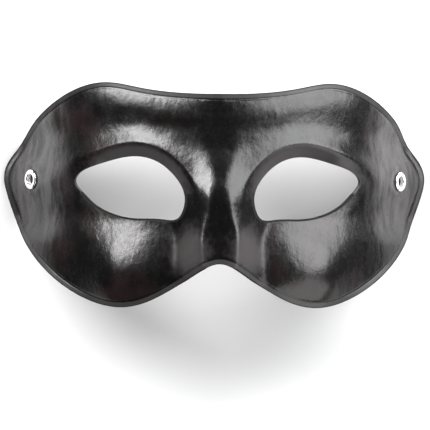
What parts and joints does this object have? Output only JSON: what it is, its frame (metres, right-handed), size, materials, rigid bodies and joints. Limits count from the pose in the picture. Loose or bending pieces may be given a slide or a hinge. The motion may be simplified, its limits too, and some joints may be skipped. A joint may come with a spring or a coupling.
{
  "type": "party eye mask",
  "caption": "Stiff moulded half mask with almond eye holes, a nose arch, a turned lip and a metal strap eyelet at each side.",
  "frame": {"origin": "on the surface that the mask lies on, under the middle of its bounding box", "axes": "+X across the face, to the right as the face of the mask is seen, +Y from the cheeks up to the forehead, +Z out of the face, away from the surface that the mask lies on"},
  "size_m": [0.176, 0.0904, 0.0637],
  "materials": {
    "shell": "smooth black, satin to glossy",
    "eyelets": "bright nickel"
  },
  "bodies": {
    "root": {"mask_shell": "shell", "eyelet_left": "eyelets", "eyelet_right": "eyelets"}
  },
  "joints": []
}
